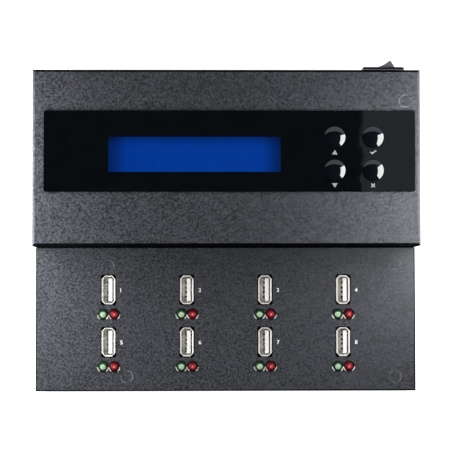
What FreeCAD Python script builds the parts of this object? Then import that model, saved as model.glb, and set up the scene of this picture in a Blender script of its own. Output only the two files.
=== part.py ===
import FreeCAD, Part
import math
import os

# USB flash drive duplicator: a folded steel box in two levels. The raised part at the back
# holds the display and four push buttons, the low part at the front eight upright
# receptacles with a green and a red lamp each. Millimetres, +Z up, +Y to the back, the
# origin on the surface it stands on, in the middle of the whole footprint.

# Casing. Its width, depth and heights follow from what it holds
step_height = 25.0
sheet = 1.0
hood_bend = 1.5
deck_bend = 0.8
pan_bend = 1.5
seam_gap = 0.2
nest_gap = 0.15
tongue_depth = 10.0
flange_height = 7.0
corner_notch = 3.0

# Feet
foot_height = 3.0
foot_radius = 6.0
foot_inset_x = 14.5
foot_inset_y = 13.0
foot_edge = 0.8

# Vent slots in the pan
vent_count = 9
vent_pitch = 7.0
vent_width = 2.5
vent_length = 24.0
vent_side = 45.0

# Cover screws
cover_head_radius = 2.7
cover_shank_radius = 1.4
cover_screw_length = 5.0
cover_screw_rise = 4.5
cover_screw_inset = 12.0
cover_screw_back_inset = 32.5

# Fascia and display window. Margins run from the fascia to the hood's four edges,
# insets from the fascia's edges to the window's edge or to the nearest buttons' centres
fascia_left = 5.5
fascia_right = 2.7
fascia_back = 19.7
fascia_front = 25.55
fascia_thick = 0.8
fascia_corner = 1.0
window_width = 81.9
window_depth = 16.65
window_inset_left = 30.7
window_inset_back = 12.575
window_gap = 0.05
window_rim = 0.9
window_rim_thick = 0.9

# Display module
lcd_frame_side = 8.35
lcd_frame_end = 4.0
lcd_frame_height = 7.0
lcd_frame_sheet = 0.4
lcd_frame_lap = 1.2
lcd_glass_thick = 2.2
lcd_glass_margin = 2.2
lcd_light_margin = 1.0
lcd_gap = 0.2
lcd_board_side = 8.7
lcd_board_end = 6.5
lcd_hole_inset_x = 4.0
lcd_hole_inset_y = 3.0

# Push buttons
button_inset_right = 20.15
button_inset_back = 12.75
button_inset_front = 10.2
button_pitch_x = 18.25
button_pitch_y = 15.8
button_radius = 5.12
button_rise = 2.1
button_edge_rise = 0.35
button_edge_round = 0.25
button_ring_gap = 0.2
button_rim = 1.3
button_rim_thick = 1.2
button_stop_gap = 0.05
button_stem_radius = 2.0
button_travel = 0.5
stem_fit = 0.08
dome_radius = 4.5
dome_height = 0.9
dome_thick = 0.15
dome_gap = 0.02
guide_thick = 1.6
guide_margin = 6.3
guide_leg = 2.4
guide_clearance = 0.8
keypad_left = 7.6
keypad_right = 14.15
keypad_end = 13.1
keypad_hole_inset = 2.8
keypad_gap = 1.15

# Boards and their fasteners
board_thick = 1.6
board_screw_head_radius = 2.6
board_screw_head_height = 1.8
board_screw_radius = 1.4
board_screw_length = 5.5
standoff_flats = 5.0
standoff_bore = 1.55
board_hole_radius = 1.6
socket_radius = 1.2
socket_depth = 0.9

# Receptacles
port_columns = 4
port_rows = 2
port_pitch_x = 38.1
port_pitch_y = 25.4
port_front = 23.85
port_back = 20.75
port_recess = 0.25
port_height = 14.0
shell_wall = 0.3
shell_inner_x = 5.12
shell_inner_y = 12.5
shell_corner = 0.75
lip_flare = 0.44
lip_height = 0.9
lip_corner = 1.7
cutout_gap = 0.5
cutout_corner = 1.3
insert_base = 4.8
insert_gap = 0.04
tongue_thick = 1.84
tongue_width = 11.1
tongue_recess = 0.8
contact_offsets = (-3.5, -1.0, 1.0, 3.5)
contact_width = 1.0
contact_thick = 0.25
contact_slot = 0.45
contact_bump = 0.7
contact_bow_end = 1.0
contact_bow_length = 3.0
contact_tail = 1.0
spring_bump = 0.35
spring_offset = 3.4
spring_width = 1.6
spring_depth = 4.5
spring_length = 3.0
tab_width = 1.8
tab_slot_gap = 0.2

# Lamps
led_radius = 2.45
led_length = 8.6
led_rise = 1.6
led_pitch = 5.3
led_front_of_port = 11.75
led_flange_radius = 2.8
led_flange_flat = 2.58
led_flange_thick = 1.0
led_hole_gap = 0.3
led_spacer_radius = 2.45
lead_side = 0.5
lead_offset = 1.27
lead_tail = 1.0
lead_gap = 0.25

# Port board
port_board_lift = 9.15
port_board_side = 8.5
port_board_front = 4.0
port_board_back = 4.0
port_hole_inset = 4.0

# Controller board
controller_side = 22.5
controller_gap = 6.0
controller_back_gap = 1.5
controller_lift = 6.0
controller_hole_inset = 6.0
processor_side = 20.0
processor_thick = 1.5
memory_width = 12.0
memory_depth = 8.0
memory_thick = 1.2
memory_pitch = 17.0
capacitor_radius = 4.0
capacitor_height = 11.5
capacitor_pitch = 11.0
header_depth = 6.0
header_height = 6.5
header_wall = 1.0
header_edge = 1.0

# Cables
ribbon_thick = 0.9
ribbon_width = 20.0
ribbon_bend = 3.0
keypad_ribbon_width = 12.0
link_ribbon_width = 40.0
link_drop = 3.9
wire_radius = 0.8
wire_bend = 5.0

# Power inlet
jack_to_switch = 27.8
jack_width = 9.0
jack_depth = 14.0
jack_height = 11.0
jack_axis = 6.5
jack_bore_radius = 3.15
jack_bore_depth = 10.0
jack_pin_radius = 1.0
jack_pin_root_radius = 1.5
jack_pin_recess = 1.0
jack_wall_gap = 0.3
jack_hole_radius = 4.2
jack_spring_thick = 0.4
jack_spring_width = 3.0

# Rocker switch
switch_side = 16.7
switch_drop = 8.0
bezel_length = 19.8
bezel_height = 14.4
bezel_thick = 2.3
bezel_corner = 0.6
bezel_edge = 0.5
housing_length = 18.4
housing_height = 12.7
housing_floor = 2.0
housing_gap = 0.1
aperture_length = 16.5
aperture_height = 9.6
latch_width = 4.0
latch_rise = 0.5
latch_length = 3.0
rocker_tip_x = 5.8
rocker_tip_y = 6.87
rocker_tip_radius = 0.3
rocker_tilt = 18.0
rocker_dish = 13.0
rocker_width = 9.0
rocker_draft = 14.7
rocker_skirt = 4.0
rocker_hub_half = 3.0
rocker_hub_depth = 2.5
rocker_end_round = 0.2
pivot_depth = 5.0
trunnion_radius = 1.2
trunnion_length = 1.2
trunnion_fit = 0.05
plunger_radius = 1.2
plunger_fit = 0.05
plunger_reach = 6.0
plunger_top = 0.5
plunger_bore_top = 2.5
lever_half = 4.5
lever_thick = 0.8
lever_width = 5.0
lever_tilt = 8.0
lever_gap = 0.15
lever_seat_gap = 0.05
blade_thick = 0.8
blade_width = 4.8
blade_reach = 8.0
contact_land = 2.4
contact_floor_gap = 0.57

# Overall sizes that follow from the pieces side by side and one above the other
window_to_buttons = lcd_frame_side + lcd_board_side + keypad_gap + keypad_left
fascia_width = window_inset_left + window_width + window_to_buttons
fascia_width += button_pitch_x + button_inset_right
fascia_depth = button_inset_back + button_pitch_y + button_inset_front
body_width = fascia_left + fascia_width + fascia_right
raised_depth = fascia_back + fascia_depth + fascia_front
body_depth = raised_depth + port_back + (port_rows - 1) * port_pitch_y + port_front
pan_bottom = foot_height
pan_top = pan_bottom + sheet
port_board_under = pan_top + port_board_lift
port_board_top = port_board_under + board_thick
deck_top = port_board_top + port_height + port_recess
body_height = deck_top + step_height

# Levels
hood_under = body_height - sheet
fascia_top = body_height + fascia_thick
lcd_board_top = hood_under - lcd_frame_height
lcd_board_under = lcd_board_top - board_thick
lcd_glass_top = hood_under - lcd_frame_sheet
lcd_glass_under = lcd_glass_top - lcd_glass_thick
button_rim_top = hood_under - button_stop_gap
button_rim_under = button_rim_top - button_rim_thick
stem_under = lcd_board_top + dome_height + dome_gap
led_base = deck_top + led_rise - led_length
controller_under = pan_top + controller_lift
controller_top = controller_under + board_thick
link_top = deck_top - sheet - link_drop
cover_screw_z = pan_top + cover_screw_rise - sheet / 2
switch_z = body_height - switch_drop - bezel_height / 2
jack_z = controller_top + jack_axis

# Places across, to the front and to the back
vector = FreeCAD.Vector
tilt = math.radians(rocker_tilt)
tip_reach = rocker_tip_x * math.sin(tilt) + rocker_tip_y * math.cos(tilt) + rocker_tip_radius
switch_reach = bezel_thick - pivot_depth + tip_reach
half_width = body_width / 2
front_y = -(body_depth + switch_reach) / 2
back_y = front_y + body_depth
step_y = back_y - raised_depth
fascia_x = (fascia_left - fascia_right) / 2
fascia_y = back_y - fascia_back - fascia_depth / 2
window_x = -half_width + fascia_left + window_inset_left + window_width / 2
window_y = back_y - fascia_back - window_inset_back - window_depth / 2
lcd_frame_width = window_width + 2 * lcd_frame_side
lcd_frame_depth = window_depth + 2 * lcd_frame_end
lcd_board_width = lcd_frame_width + 2 * lcd_board_side
lcd_board_depth = lcd_frame_depth + 2 * lcd_board_end
button_x = half_width - fascia_right - button_inset_right - button_pitch_x
button_y = back_y - fascia_back - button_inset_back
keypad_x0 = button_x - keypad_left
keypad_x1 = button_x + button_pitch_x + keypad_right
keypad_y0 = button_y - button_pitch_y - keypad_end
keypad_y1 = button_y + keypad_end
shell_outer_x = shell_inner_x + 2 * shell_wall
shell_outer_y = shell_inner_y + 2 * shell_wall
tongue_top = port_height - tongue_recess
port_board_x1 = half_width - port_board_side
port_board_y0 = front_y + port_board_front
port_board_y1 = step_y - port_board_back
controller_x1 = half_width - controller_side
controller_y0 = step_y + controller_gap
controller_y1 = back_y - 2 * sheet - nest_gap - controller_back_gap
controller_y = (controller_y0 + controller_y1) / 2
header_inset = header_edge + header_depth / 2
display_cable_y = window_y - lcd_board_depth / 2 + header_inset
keypad_cable_x = button_x + button_pitch_x / 2
link_y0 = port_board_y1 - header_inset
link_y1 = controller_y0 + header_inset
wire_header_x = controller_x1 - controller_hole_inset - header_depth
wire_header_y = controller_y + controller_hole_inset
switch_x = half_width - switch_side
bezel_face_y = back_y + bezel_thick
pivot_y = bezel_face_y - pivot_depth
jack_x = switch_x - jack_to_switch
jack_front = back_y - sheet - jack_wall_gap
jack_floor = jack_front - jack_bore_depth

# Levels of the see-saw contact, measured from the rocker's pivot
lever_top = -(plunger_reach + lever_gap)
lever_axis = lever_top - lever_thick - lever_seat_gap - blade_thick / 2
contact_level = lever_axis + blade_thick / 2
contact_level -= lever_half * math.sin(math.radians(lever_tilt))
cavity_depth = pivot_depth - contact_level + blade_thick + contact_floor_gap
housing_depth = cavity_depth + housing_floor

button_places = {
    "up": (button_x, button_y),
    "down": (button_x, button_y - button_pitch_y),
    "ok": (button_x + button_pitch_x, button_y),
    "esc": (button_x + button_pitch_x, button_y - button_pitch_y),
}


def port_centres():
    """Centres of the receptacles, from the back row to the front one, left to right."""
    places = []
    for row in reversed(range(port_rows)):
        for column in range(port_columns):
            x = (column - (port_columns - 1) / 2) * port_pitch_x
            y = front_y + port_front + row * port_pitch_y
            places.append((x, y))
    return places


def led_centres(side):
    """Centres of the lamps on one side of each pair: -1 is left, 1 is right."""
    return [(x + side * led_pitch / 2, y - led_front_of_port) for x, y in port_centres()]


# Basic shapes
def box(x0, x1, y0, y1, z0, z1):
    return Part.makeBox(x1 - x0, y1 - y0, z1 - z0, vector(x0, y0, z0))


def disc(x, y, z0, z1, radius):
    return Part.makeCylinder(radius, z1 - z0, vector(x, y, z0), vector(0, 0, 1))


def fuse(shapes):
    return shapes[0].multiFuse(shapes[1:]).removeSplitter()


def cut(shape, tools):
    return shape.cut(tools)


def group(shapes):
    return Part.makeCompound(shapes)


def is_upright(edge):
    first, last = edge.Vertexes[0].Point, edge.Vertexes[-1].Point
    return abs(first.z - last.z) > 0.01 and abs(first.x - last.x) + abs(first.y - last.y) < 0.001


def is_curved(edge):
    return edge.Curve.TypeId != "Part::GeomLine"


def at_level(edge, z):
    return all(abs(vertex.Point.z - z) < 0.001 for vertex in edge.Vertexes)


def plate(x, y, width, depth, z0, z1, corner):
    """A flat plate with rounded corners."""
    slab = box(x - width / 2, x + width / 2, y - depth / 2, y + depth / 2, z0, z1)
    return slab.makeFillet(corner, [edge for edge in slab.Edges if is_upright(edge)])


def slot(x, y, width, length, z0, z1):
    """A slot with round ends that runs along Y."""
    straight = (length - width) / 2
    middle = box(x - width / 2, x + width / 2, y - straight, y + straight, z0, z1)
    ends = [disc(x, y + side * straight, z0, z1, width / 2) for side in (-1, 1)]
    return fuse([middle] + ends)


def octagon(width, depth, corner, z):
    """A rectangle outline with its corners cut off."""
    a, b = width / 2, depth / 2
    points = [(a - corner, -b), (a, -b + corner), (a, b - corner), (a - corner, b)]
    points += [(-a + corner, b), (-a, b - corner), (-a, -b + corner), (-a + corner, -b)]
    points.append(points[0])
    return Part.makePolygon([vector(x, y, z) for x, y in points])


def between(lower, upper):
    return Part.makeLoft([lower, upper], True, True)


def bent_path(points, radius):
    """Straight runs joined by tangent arcs of one radius."""
    edges = []
    start = points[0]
    for before, corner, after in zip(points, points[1:], points[2:]):
        into = (corner - before).normalize()
        out = (after - corner).normalize()
        turn = into.getAngle(out)
        reach = radius * math.tan(turn / 2)
        first = corner - into * reach
        last = corner + out * reach
        inward = (out - into).normalize()
        middle = corner + inward * (radius / math.cos(turn / 2) - radius)
        edges.append(Part.LineSegment(start, first).toShape())
        edges.append(Part.Arc(first, middle, last).toShape())
        start = last
    edges.append(Part.LineSegment(start, points[-1]).toShape())
    return Part.Wire(edges)


def tube(points, bend, radius):
    direction = points[1] - points[0]
    profile = Part.Wire([Part.makeCircle(radius, points[0], direction)])
    return bent_path(points, bend).makePipeShell([profile], True, True)


def ribbon(points, bend, thickness, width):
    """A flat cable that bends in a plane across X and is wide along X."""
    direction = (points[1] - points[0]).normalize()
    across = vector(width / 2, 0, 0)
    through = direction.cross(vector(1, 0, 0)) * (thickness / 2)
    start = points[0]
    corners = [start - across - through, start + across - through]
    corners += [start + across + through, start - across + through]
    profile = Part.makePolygon(corners + [corners[0]])
    return bent_path(points, bend).makePipeShell([profile], True, True)


# Fasteners
def standoff(x, y, z0, z1):
    """A hexagonal spacer with a bore."""
    reach = standoff_flats / math.sqrt(3)
    corners = [math.radians(60 * step) for step in range(7)]
    outline = [vector(x + reach * math.cos(a), y + reach * math.sin(a), z0) for a in corners]
    post = Part.Face(Part.makePolygon(outline)).extrude(vector(0, 0, z1 - z0))
    return post.cut(disc(x, y, z0, z1, standoff_bore))


def board_screw(x, y, z, up):
    """A pan-head screw whose head rests at z, and stands up or hangs down from there."""
    head_end = z + up * board_screw_head_height
    shank_end = z - up * board_screw_length
    head = disc(x, y, min(z, head_end), max(z, head_end), board_screw_head_radius)
    shank = disc(x, y, min(z, shank_end), max(z, shank_end), board_screw_radius)
    socket_end = head_end - up * socket_depth
    socket = disc(x, y, min(head_end, socket_end), max(head_end, socket_end), socket_radius)
    return fuse([head, shank]).cut(socket)


def cover_screw_places():
    """Head centre and inward direction of each cover screw."""
    places = []
    for side in (-1, 1):
        inward = vector(-side, 0, 0)
        rows = [front_y + cover_screw_inset, step_y - cover_screw_inset]
        rows += [step_y + cover_screw_inset, back_y - cover_screw_inset]
        for y in rows:
            places.append((vector(side * half_width, y, cover_screw_z), inward))
        back_point = vector(side * (half_width - cover_screw_back_inset), back_y, cover_screw_z)
        places.append((back_point, vector(0, -1, 0)))
    return places


def cover_hole(point, inward):
    """The countersunk hole in the cover and the tapped hole in the flange behind it."""
    sink = Part.makeCone(cover_head_radius, cover_shank_radius, sheet, point, inward)
    through = Part.makeCylinder(cover_shank_radius, cover_screw_length, point, inward)
    return fuse([sink, through])


def cover_screw(point, inward):
    """A countersunk screw that fills its hole, flush with the cover."""
    socket = Part.makeCylinder(socket_radius, sheet / 2, point, inward)
    return cover_hole(point, inward).cut(socket)


# Casing
def base_pan():
    """The folded bottom with four short flanges, relieved at the corners."""
    x1 = half_width - sheet - nest_gap
    y0 = front_y + sheet + nest_gap
    y1 = back_y - sheet - nest_gap
    top = pan_top + flange_height
    outer = box(-x1, x1, y0, y1, pan_bottom, top)
    outer = outer.makeFillet(pan_bend, [e for e in outer.Edges if at_level(e, pan_bottom)])
    inner = box(-x1 + sheet, x1 - sheet, y0 + sheet, y1 - sheet, pan_top, top + 1)
    inner = inner.makeFillet(pan_bend - sheet, [e for e in inner.Edges if at_level(e, pan_top)])
    tools = [inner]
    for x in (-x1, x1 - corner_notch):
        for y in (y0, y1 - corner_notch):
            tools.append(box(x, x + corner_notch, y, y + corner_notch, pan_bottom, top))
    for side in (-1, 1):
        for index in range(vent_count):
            x = side * vent_side + (index - (vent_count - 1) / 2) * vent_pitch
            y = (step_y + back_y) / 2
            tools.append(slot(x, y, vent_width, vent_length, pan_bottom, pan_top))
    tools += [cover_hole(point, inward) for point, inward in cover_screw_places()]
    return cut(outer, tools)


def upper_cover():
    """The hood of the raised part. Its step wall stands on the low part's cover."""
    outer = box(-half_width, half_width, step_y, back_y, pan_bottom, body_height)
    outer = outer.makeFillet(hood_bend, [e for e in outer.Edges if at_level(e, body_height)])
    x1 = half_width - sheet
    inner = box(-x1, x1, step_y + sheet, back_y - sheet, pan_bottom - 1, hood_under)
    inner = inner.makeFillet(hood_bend - sheet, [e for e in inner.Edges if at_level(e, hood_under)])
    tools = [inner, box(-x1, x1, step_y, step_y + sheet, pan_bottom, deck_top)]
    width = window_width + 2 * (window_rim + window_gap)
    depth = window_depth + 2 * (window_rim + window_gap)
    tools.append(plate(window_x, window_y, width, depth, hood_under, body_height, fascia_corner))
    for x, y in button_places.values():
        tools.append(disc(x, y, hood_under, body_height, button_radius + 2 * button_ring_gap))
    length = housing_length + 2 * housing_gap
    height = housing_height + 2 * housing_gap
    x, z = switch_x - length / 2, switch_z - height / 2
    tools.append(box(x, x + length, back_y - sheet, back_y, z, z + height))
    inlet = vector(jack_x, back_y - sheet, jack_z)
    tools.append(Part.makeCylinder(jack_hole_radius, sheet, inlet, vector(0, 1, 0)))
    tools += [cover_hole(point, inward) for point, inward in cover_screw_places()]
    return cut(outer, tools)


def port_deck():
    """The cover of the low part, with a tongue that reaches under the hood."""
    rear = step_y - seam_gap
    outer = box(-half_width, half_width, front_y, rear, pan_bottom, deck_top)
    bends = [e for e in outer.Edges if at_level(e, deck_top) and e.CenterOfMass.y < rear - 0.01]
    outer = outer.makeFillet(deck_bend, bends)
    x1 = half_width - sheet
    inner = box(-x1, x1, front_y + sheet, rear + 1, pan_bottom - 1, deck_top - sheet)
    shell = outer.cut(inner)
    tongue_x = x1 - nest_gap
    tongue_end = step_y + sheet + tongue_depth
    tongue = box(-tongue_x, tongue_x, rear - 1, tongue_end, deck_top - sheet, deck_top)
    tools = []
    length = shell_outer_y + 2 * (lip_flare + cutout_gap)
    width = shell_outer_x + 2 * (lip_flare + cutout_gap)
    for x, y in port_centres():
        tools.append(plate(x, y, width, length, deck_top - sheet, deck_top, cutout_corner))
    for x, y in led_centres(-1) + led_centres(1):
        tools.append(disc(x, y, deck_top - sheet, deck_top, led_radius + led_hole_gap))
    tools += [cover_hole(point, inward) for point, inward in cover_screw_places()]
    return cut(fuse([shell, tongue]), tools)


def foot(x, y):
    pad = disc(x, y, 0, foot_height, foot_radius)
    return pad.makeFillet(foot_edge, [e for e in pad.Edges if at_level(e, 0)])


def foot_places():
    rows = (front_y + foot_inset_y, back_y - foot_inset_y)
    return [(side * (half_width - foot_inset_x), y) for side in (-1, 1) for y in rows]


# Fascia and display
def fascia_panel():
    size = (fascia_width, fascia_depth)
    panel = plate(fascia_x, fascia_y, *size, body_height, fascia_top, fascia_corner)
    hole = button_radius + button_ring_gap
    tools = [disc(x, y, body_height, fascia_top, hole) for x, y in button_places.values()]
    x0, y0 = window_x - window_width / 2, window_y - window_depth / 2
    tools.append(box(x0, x0 + window_width, y0, y0 + window_depth, body_height, fascia_top))
    return cut(panel, tools)


def display_window():
    """A clear plate, flush in the fascia, with a rim that sits in the hood's opening."""
    a = window_width / 2 - window_gap
    b = window_depth / 2 - window_gap
    upper = box(window_x - a, window_x + a, window_y - b, window_y + b, body_height, fascia_top)
    width = window_width + 2 * window_rim
    depth = window_depth + 2 * window_rim
    under = body_height - window_rim_thick
    rim = plate(window_x, window_y, width, depth, under, body_height, fascia_corner)
    return fuse([upper, rim])


def lcd_block(width, depth, z0, z1):
    a, b = width / 2, depth / 2
    return box(window_x - a, window_x + a, window_y - b, window_y + b, z0, z1)


def lcd_frame():
    """The folded frame that clamps the glass to the board."""
    outer = lcd_block(lcd_frame_width, lcd_frame_depth, lcd_board_top, hood_under)
    inner_width = lcd_frame_width - 2 * lcd_frame_sheet
    inner_depth = lcd_frame_depth - 2 * lcd_frame_sheet
    inner = lcd_block(inner_width, inner_depth, lcd_board_top, lcd_glass_top)
    view_width = window_width + 2 * lcd_frame_lap
    view_depth = window_depth + 2 * lcd_frame_lap
    view = lcd_block(view_width, view_depth, lcd_glass_top, hood_under)
    return cut(outer, [inner, view])


def lcd_glass():
    width = lcd_frame_width - 2 * lcd_glass_margin
    depth = lcd_frame_depth - 2 * lcd_frame_sheet - 2 * lcd_gap
    return lcd_block(width, depth, lcd_glass_under, lcd_glass_top)


def lcd_backlight():
    width = lcd_frame_width - 2 * lcd_frame_sheet - 2 * lcd_light_margin
    depth = lcd_frame_depth - 2 * lcd_frame_sheet - 2 * lcd_gap
    return lcd_block(width, depth, lcd_board_top, lcd_glass_under)


def lcd_fixings():
    a = lcd_board_width / 2 - lcd_hole_inset_x
    b = lcd_board_depth / 2 - lcd_hole_inset_y
    return [(window_x + side * a, window_y + end * b) for side in (-1, 1) for end in (-1, 1)]


def board(x0, x1, y0, y1, z0, holes):
    """A circuit board with its screw holes."""
    slab = box(x0, x1, y0, y1, z0, z0 + board_thick)
    return cut(slab, [disc(x, y, z0, z0 + board_thick, board_hole_radius) for x, y in holes])


def lcd_board():
    a, b = lcd_board_width / 2, lcd_board_depth / 2
    edges = (window_x - a, window_x + a, window_y - b, window_y + b)
    return board(*edges, lcd_board_under, lcd_fixings())


# Push buttons
def button(x, y):
    """A domed cap with a retaining rim and the stem that presses the snap dome."""
    edge = fascia_top + button_edge_rise
    top = fascia_top + button_rise
    rise = top - edge
    sphere = (button_radius ** 2 + rise ** 2) / (2 * rise)
    half_angle = math.asin(button_radius / sphere) / 2
    middle = vector(sphere * math.sin(half_angle), 0, top - sphere + sphere * math.cos(half_angle))
    rim = button_radius + button_rim
    outline = [(0, stem_under), (button_stem_radius, stem_under)]
    outline += [(button_stem_radius, button_rim_under), (rim, button_rim_under)]
    outline += [(rim, button_rim_top), (button_radius, button_rim_top), (button_radius, edge)]
    points = [vector(r, 0, z) for r, z in outline]
    edges = [Part.LineSegment(a, b).toShape() for a, b in zip(points, points[1:])]
    edges.append(Part.Arc(points[-1], middle, vector(0, 0, top)).toShape())
    edges.append(Part.LineSegment(vector(0, 0, top), points[0]).toShape())
    cap = Part.Face(Part.Wire(edges)).revolve(vector(0, 0, 0), vector(0, 0, 1), 360)
    cap = Part.makeSolid(cap.Shells[0])
    rounded = [e for e in cap.Edges if at_level(e, edge) and e.Length > button_radius]
    cap = cap.makeFillet(button_edge_round, rounded)
    cap.translate(vector(x, y, 0))
    return cap


def snap_dome(x, y):
    """A thin spherical spring on the keypad board."""
    outer_radius = (dome_radius ** 2 + dome_height ** 2) / (2 * dome_height)
    centre = vector(x, y, lcd_board_top + dome_height - outer_radius)
    outer = Part.makeSphere(outer_radius, centre)
    inner = Part.makeSphere(outer_radius - dome_thick, centre)
    reach = 2 * dome_radius
    keep = box(x - reach, x + reach, y - reach, y + reach, lcd_board_top, lcd_board_top + reach)
    return outer.cut(inner).common(keep)


def key_guide():
    """The plate that guides the stems, on four legs that stand on the keypad board."""
    xs = [x for x, y in button_places.values()]
    ys = [y for x, y in button_places.values()]
    x0, x1 = min(xs) - guide_margin, max(xs) + guide_margin
    y0, y1 = min(ys) - guide_margin, max(ys) + guide_margin
    top = button_rim_under - button_travel - guide_clearance
    under = top - guide_thick
    pieces = [box(x0, x1, y0, y1, under, top)]
    for x in (x0, x1 - guide_leg):
        for y in (y0, y1 - guide_leg):
            pieces.append(box(x, x + guide_leg, y, y + guide_leg, lcd_board_top, under))
    bore = button_stem_radius + stem_fit
    return cut(fuse(pieces), [disc(x, y, under, top, bore) for x, y in button_places.values()])


def keypad_fixings():
    xs = (keypad_x0 + keypad_hole_inset, keypad_x1 - keypad_hole_inset)
    ys = (keypad_y0 + keypad_hole_inset, keypad_y1 - keypad_hole_inset)
    return [(x, y) for x in xs for y in ys]


def keypad_board():
    edges = (keypad_x0, keypad_x1, keypad_y0, keypad_y1)
    return board(*edges, lcd_board_under, keypad_fixings())


# Receptacles, each made at the origin with the board's top at zero
def usb_shell():
    """A drawn tube with a flared mouth, spring bumps inside and two board tabs."""
    neck = port_height - lip_height
    outer = octagon(shell_outer_x, shell_outer_y, shell_corner, 0)
    outer_neck = octagon(shell_outer_x, shell_outer_y, shell_corner, neck)
    flare = 2 * lip_flare
    outer_mouth = octagon(shell_outer_x + flare, shell_outer_y + flare, lip_corner, port_height)
    body = fuse([between(outer, outer_neck), between(outer_neck, outer_mouth)])
    inner = octagon(shell_inner_x, shell_inner_y, shell_corner, 0)
    inner_neck = octagon(shell_inner_x, shell_inner_y, shell_corner, neck)
    inner_mouth = octagon(shell_inner_x + flare, shell_inner_y + flare, lip_corner, port_height)
    hollow = fuse([between(inner, inner_neck), between(inner_neck, inner_mouth)])
    pieces = [body.cut(hollow)]
    wall = shell_inner_x / 2
    top = port_height - spring_depth
    for side in (-1, 1):
        outline = [(wall + shell_wall / 2, top), (wall - spring_bump, top - spring_length / 2)]
        outline += [(wall + shell_wall / 2, top - spring_length)]
        for offset in (-spring_offset, spring_offset):
            points = [vector(side * x, offset - spring_width / 2, z) for x, z in outline]
            face = Part.Face(Part.makePolygon(points + [points[0]]))
            pieces.append(face.extrude(vector(0, spring_width, 0)))
        end = shell_outer_y / 2
        y0, y1 = sorted((side * end, side * (end - shell_wall)))
        pieces.append(box(-tab_width / 2, tab_width / 2, y0, y1, -board_thick, shell_wall))
    return fuse(pieces)


def usb_insert():
    """The plastic block in the shell and its tongue, with one channel for each contact."""
    a = shell_inner_x / 2 - insert_gap
    b = shell_inner_y / 2 - insert_gap
    base_points = octagon(2 * a, 2 * b, shell_corner, 0)
    base = between(base_points, octagon(2 * a, 2 * b, shell_corner, insert_base))
    tongue = box(0, tongue_thick, -tongue_width / 2, tongue_width / 2, insert_base, tongue_top)
    body = fuse([base, tongue])
    half = contact_width / 2 + contact_thick / 2
    end = tongue_top - tongue_recess
    channels = [box(0, contact_slot, y - half, y + half, 0, end) for y in contact_offsets]
    return cut(body, channels)


def usb_contact(offset):
    """One spring contact in its channel, bowed out near the tongue's end."""
    x0 = contact_slot - contact_thick
    y0, y1 = offset - contact_width / 2, offset + contact_width / 2
    end = tongue_top - 2 * tongue_recess
    strip = box(x0, contact_slot, y0, y1, -board_thick - contact_tail, end)
    top = end - contact_bow_end
    bow = [(contact_slot, top - contact_bow_length), (contact_slot, top)]
    bow.insert(1, (-contact_bump, top - contact_bow_length / 2))
    points = [vector(x, y0, z) for x, z in bow]
    face = Part.Face(Part.makePolygon(points + [points[0]]))
    return fuse([strip, face.extrude(vector(0, contact_width, 0))])


def at_ports(shape):
    """One copy of a shape at each receptacle."""
    copies = []
    for x, y in port_centres():
        copy = shape.copy()
        copy.translate(vector(x, y, port_board_top))
        copies.append(copy)
    return copies


# Lamps
def led(x, y, side):
    """A round-nosed lamp whose flange is flat towards its neighbour."""
    nose = led_base + led_length - led_radius
    barrel = disc(x, y, led_base, nose, led_radius)
    dome = Part.makeSphere(led_radius, vector(x, y, nose))
    rim = disc(x, y, led_base, led_base + led_flange_thick, led_flange_radius)
    reach = 2 * led_flange_radius
    inner = x - side * led_flange_flat
    x0, x1 = sorted((inner, inner - side * reach))
    trim = box(x0, x1, y - reach, y + reach, led_base, led_base + led_flange_thick)
    return fuse([barrel, dome, rim.cut(trim)])


def led_lead_places():
    places = []
    for x, y in led_centres(-1) + led_centres(1):
        places += [(x, y - lead_offset), (x, y + lead_offset)]
    return places


def led_lead(x, y):
    a = lead_side / 2
    return box(x - a, x + a, y - a, y + a, port_board_under - lead_tail, led_base)


def led_spacer(x, y):
    post = disc(x, y, port_board_top, led_base, led_spacer_radius)
    radius = lead_side / 2 + lead_gap
    return cut(post, [disc(x, y + s * lead_offset, port_board_top, led_base, radius) for s in (-1, 1)])


# Port board
def port_fixings():
    reach = port_board_x1 - port_hole_inset
    rows = (port_board_y0 + port_hole_inset, port_board_y1 - port_hole_inset)
    corners = [(x, y) for x in (-reach, reach) for y in rows]
    return corners + [(0, sum(rows) / 2)]


def port_board():
    """The board under the receptacles, with holes for every lead, tail and tab."""
    edges = (-port_board_x1, port_board_x1, port_board_y0, port_board_y1)
    slab = board(*edges, port_board_under, port_fixings())
    z0, z1 = port_board_under, port_board_top
    radius = lead_side / 2 + lead_gap
    tools = [disc(x, y, z0, z1, radius) for x, y in led_lead_places()]
    half_tail = contact_width / 2 + tab_slot_gap
    half_tab = tab_width / 2 + tab_slot_gap
    for x, y in port_centres():
        x0 = x + contact_slot - contact_thick - tab_slot_gap
        x1 = x + contact_slot + tab_slot_gap
        for offset in contact_offsets:
            tools.append(box(x0, x1, y + offset - half_tail, y + offset + half_tail, z0, z1))
        for side in (-1, 1):
            near = y + side * (shell_outer_y / 2 - shell_wall - tab_slot_gap)
            far = y + side * (shell_outer_y / 2 + tab_slot_gap)
            y0, y1 = sorted((near, far))
            tools.append(box(x - half_tab, x + half_tab, y0, y1, z0, z1))
    return cut(slab, tools)


# Controller board and what stands on it
def controller_fixings():
    reach = controller_x1 - controller_hole_inset
    ys = (controller_y0 + controller_hole_inset, controller_y1 - controller_hole_inset)
    return [(x, y) for x in (-reach, reach) for y in ys]


def controller_board():
    edges = (-controller_x1, controller_x1, controller_y0, controller_y1)
    return board(*edges, controller_under, controller_fixings())


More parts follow.
